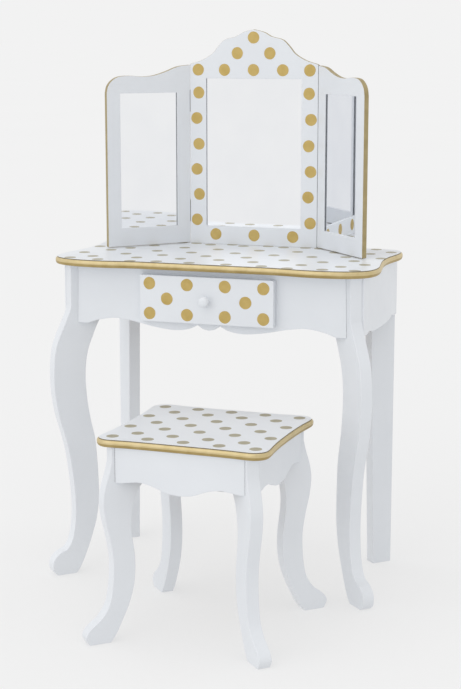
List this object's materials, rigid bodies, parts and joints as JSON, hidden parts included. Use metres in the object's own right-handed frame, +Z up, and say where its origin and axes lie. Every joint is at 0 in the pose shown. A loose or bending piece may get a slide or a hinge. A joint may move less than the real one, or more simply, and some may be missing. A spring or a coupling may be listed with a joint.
{
  "type": "child's dressing table with folding mirror and stool",
  "caption": "Child-size dressing table with a drawer and a folding three-panel mirror on top, and a matching stool; both stand on curved legs.",
  "frame": {"origin": "on the floor, at the centre of the set's footprint", "axes": "+Z up; the front of the table and the stool face -Y; +X is to the right as seen from the front"},
  "size_m": [0.6286, 0.6328, 1.008],
  "materials": {
    "white_paint": "satin paint",
    "gold_paint": "metallic gold paint on wood",
    "mirror_glass": "polished",
    "hardboard": "bare hardboard",
    "plywood": "bare plywood",
    "steel": "zinc plated",
    "brass": "satin"
  },
  "bodies": {
    "table": {"table_top": "white_paint", "front_apron": "white_paint", "rear_apron": "white_paint", "left_apron": "white_paint", "right_apron": "white_paint", "front_left_leg": "white_paint", "front_right_leg": "white_paint", "rear_left_leg": "white_paint", "rear_right_leg": "white_paint", "corner_blocks": "plywood", "leg_bolts": "steel", "leg_barrel_nuts": "steel", "top_screws": "steel", "left_runner": "plywood", "right_runner": "plywood", "runner_screws": "steel", "centre_frame": "white_paint", "centre_glass": "mirror_glass", "centre_backing": "hardboard", "centre_clips": "steel", "mirror_brackets": "steel", "mirror_screws": "steel", "fixed_hinge_leaves": "brass", "hinge_pins": "brass"},
    "drawer": {"drawer_front": "white_paint", "drawer_inner_front": "plywood", "drawer_left_side": "plywood", "drawer_right_side": "plywood", "drawer_back": "plywood", "drawer_bottom": "hardboard", "drawer_screws": "steel", "drawer_knob": "white_paint", "drawer_knob_bolt": "steel"},
    "left_wing": {"left_wing_frame": "white_paint", "left_wing_glass": "mirror_glass", "left_wing_backing": "hardboard", "left_wing_clips": "steel", "left_hinge_leaves": "brass", "left_wing_screws": "steel"},
    "right_wing": {"right_wing_frame": "white_paint", "right_wing_glass": "mirror_glass", "right_wing_backing": "hardboard", "right_wing_clips": "steel", "right_hinge_leaves": "brass", "right_wing_screws": "steel"},
    "stool": {"stool_seat": "white_paint", "stool_front_apron": "white_paint", "stool_rear_apron": "white_paint", "stool_left_apron": "white_paint", "stool_right_apron": "white_paint", "stool_front_left_leg": "white_paint", "stool_front_right_leg": "white_paint", "stool_rear_left_leg": "white_paint", "stool_rear_right_leg": "white_paint", "stool_corner_blocks": "plywood", "stool_leg_bolts": "steel", "stool_barrel_nuts": "steel", "stool_seat_screws": "steel"}
  },
  "joints": [
    {"name": "drawer_slide", "type": "slide", "parent": "table", "child": "drawer", "axis": [0, -1, 0], "range_m": [0, 0.17]},
    {"name": "left_wing_fold", "type": "hinge", "parent": "table", "child": "left_wing", "pos_m": [-0.13054, 0.29743, 0.77], "axis": [0, 0, -1], "range_deg": [0, 136.5]},
    {"name": "right_wing_fold", "type": "hinge", "parent": "table", "child": "right_wing", "pos_m": [0.13054, 0.29743, 0.77], "axis": [0, 0, 1], "range_deg": [0, 136.5]},
    {"name": "stool_slide", "type": "slide", "parent": "table", "child": "stool", "axis": [0, 1, 0], "range_m": [-0.2, 0.24]}
  ]
}
